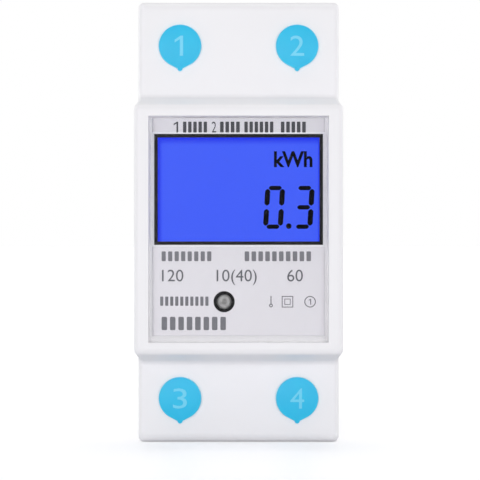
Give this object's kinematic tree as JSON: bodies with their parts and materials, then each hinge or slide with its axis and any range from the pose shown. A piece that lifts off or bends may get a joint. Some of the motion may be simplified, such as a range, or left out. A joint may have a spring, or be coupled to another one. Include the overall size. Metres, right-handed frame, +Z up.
{
  "type": "din rail energy meter",
  "caption": "Two-module rail-mounted meter housing with a stepped front, lens window, blue display, pulse light, clamp terminals under seal plugs, and a sprung rail catch.",
  "frame": {"origin": "middle of the flat seat that lies against the rail, level with the middle of the raised front", "axes": "+Y out of the back, towards the rail; +Z up, along the housing's length; +X to the right as seen from the front"},
  "size_m": [0.036, 0.065, 0.079],
  "materials": {
    "housing": "fine moulded texture",
    "window_plastic": "clear, polished",
    "faceplate": "silver print, satin",
    "black_plastic": "moulded",
    "display_glass": "polished, lit blue from behind",
    "light_guide": "clear, diffusing",
    "circuit_board": "solder mask",
    "seal_plastic": "soft, translucent",
    "led_resin": "clear resin",
    "plated_steel": "zinc plated",
    "screw_steel": "zinc plated",
    "copper": "rolled copper",
    "manganin": "rolled alloy",
    "tinned_pins": "tinned",
    "capacitor_box": "moulded box",
    "varistor_coat": "dipped epoxy",
    "capacitor_sleeve": "shrunk sleeve",
    "resistor_coat": "lacquer",
    "crystal_can": "nickel plated",
    "chip_resistor": "glazed ceramic",
    "socket_plastic": "moulded",
    "ribbon": "flat film cable",
    "catch_plastic": "moulded"
  },
  "bodies": {
    "meter": {"base_shell": "housing", "front_cover": "housing", "window_lens": "window_plastic", "faceplate": "faceplate", "lcd_frame": "black_plastic", "led_collar": "black_plastic", "driver_chip": "black_plastic", "metering_chip": "black_plastic", "bridge_rectifier": "black_plastic", "lcd_glass": "display_glass", "backlight": "light_guide", "display_board": "circuit_board", "power_board": "circuit_board", "seal_plug_1": "seal_plastic", "seal_plug_2": "seal_plastic", "seal_plug_3": "seal_plastic", "seal_plug_4": "seal_plastic", "pulse_led": "led_resin", "board_screws": "plated_steel", "catch_spring": "plated_steel", "neutral_bar": "copper", "shunt_copper_top": "copper", "shunt_copper_bottom": "copper", "shunt_manganin": "manganin", "sense_pins": "tinned_pins", "neutral_pin": "tinned_pins", "lcd_pins": "tinned_pins", "dropper_capacitor": "capacitor_box", "varistor": "varistor_coat", "smoothing_capacitor": "capacitor_sleeve", "safety_resistor": "resistor_coat", "crystal": "crystal_can", "divider_resistors": "chip_resistor", "power_socket": "socket_plastic", "display_socket": "socket_plastic", "link_ribbon": "ribbon"},
    "clamp_screw_1": {"terminal_screw_1": "screw_steel"},
    "clamp_cage_1": {"terminal_cage_1": "plated_steel"},
    "clamp_screw_2": {"terminal_screw_2": "screw_steel"},
    "clamp_cage_2": {"terminal_cage_2": "plated_steel"},
    "clamp_screw_3": {"terminal_screw_3": "screw_steel"},
    "clamp_cage_3": {"terminal_cage_3": "plated_steel"},
    "clamp_screw_4": {"terminal_screw_4": "screw_steel"},
    "clamp_cage_4": {"terminal_cage_4": "plated_steel"},
    "catch": {"rail_catch": "catch_plastic"}
  },
  "joints": [
    {"name": "screw_turn_1", "type": "hinge", "parent": "meter", "child": "clamp_screw_1", "pos_m": [-0.0105, -0.0358, 0.0329], "axis": [0, 1, 0], "range_deg": [0, 2700]},
    {"name": "cage_rise_1", "type": "slide", "parent": "meter", "child": "clamp_cage_1", "axis": [0, -1, 0], "range_m": [0, 0.006]},
    {"name": "screw_turn_2", "type": "hinge", "parent": "meter", "child": "clamp_screw_2", "pos_m": [0.0105, -0.0358, 0.0329], "axis": [0, 1, 0], "range_deg": [0, 2700]},
    {"name": "cage_rise_2", "type": "slide", "parent": "meter", "child": "clamp_cage_2", "axis": [0, -1, 0], "range_m": [0, 0.006]},
    {"name": "screw_turn_3", "type": "hinge", "parent": "meter", "child": "clamp_screw_3", "pos_m": [-0.0105, -0.0358, -0.0303], "axis": [0, 1, 0], "range_deg": [0, 2700]},
    {"name": "cage_rise_3", "type": "slide", "parent": "meter", "child": "clamp_cage_3", "axis": [0, -1, 0], "range_m": [0, 0.006]},
    {"name": "screw_turn_4", "type": "hinge", "parent": "meter", "child": "clamp_screw_4", "pos_m": [0.0105, -0.0358, -0.0303], "axis": [0, 1, 0], "range_deg": [0, 2700]},
    {"name": "cage_rise_4", "type": "slide", "parent": "meter", "child": "clamp_cage_4", "axis": [0, -1, 0], "range_m": [0, 0.006]},
    {"name": "catch_slide", "type": "slide", "parent": "meter", "child": "catch", "axis": [0, 0, -1], "range_m": [0, 0.003], "stiffness_N_per_m": 800, "springref_m": -0.003, "deforming": ["catch_spring"]}
  ],
  "couplings": [
    {"joint": "screw_turn_1", "follows": "cage_rise_1", "rad_per_m": 7854},
    {"joint": "screw_turn_2", "follows": "cage_rise_2", "rad_per_m": 7854},
    {"joint": "screw_turn_3", "follows": "cage_rise_3", "rad_per_m": 7854},
    {"joint": "screw_turn_4", "follows": "cage_rise_4", "rad_per_m": 7854}
  ]
}
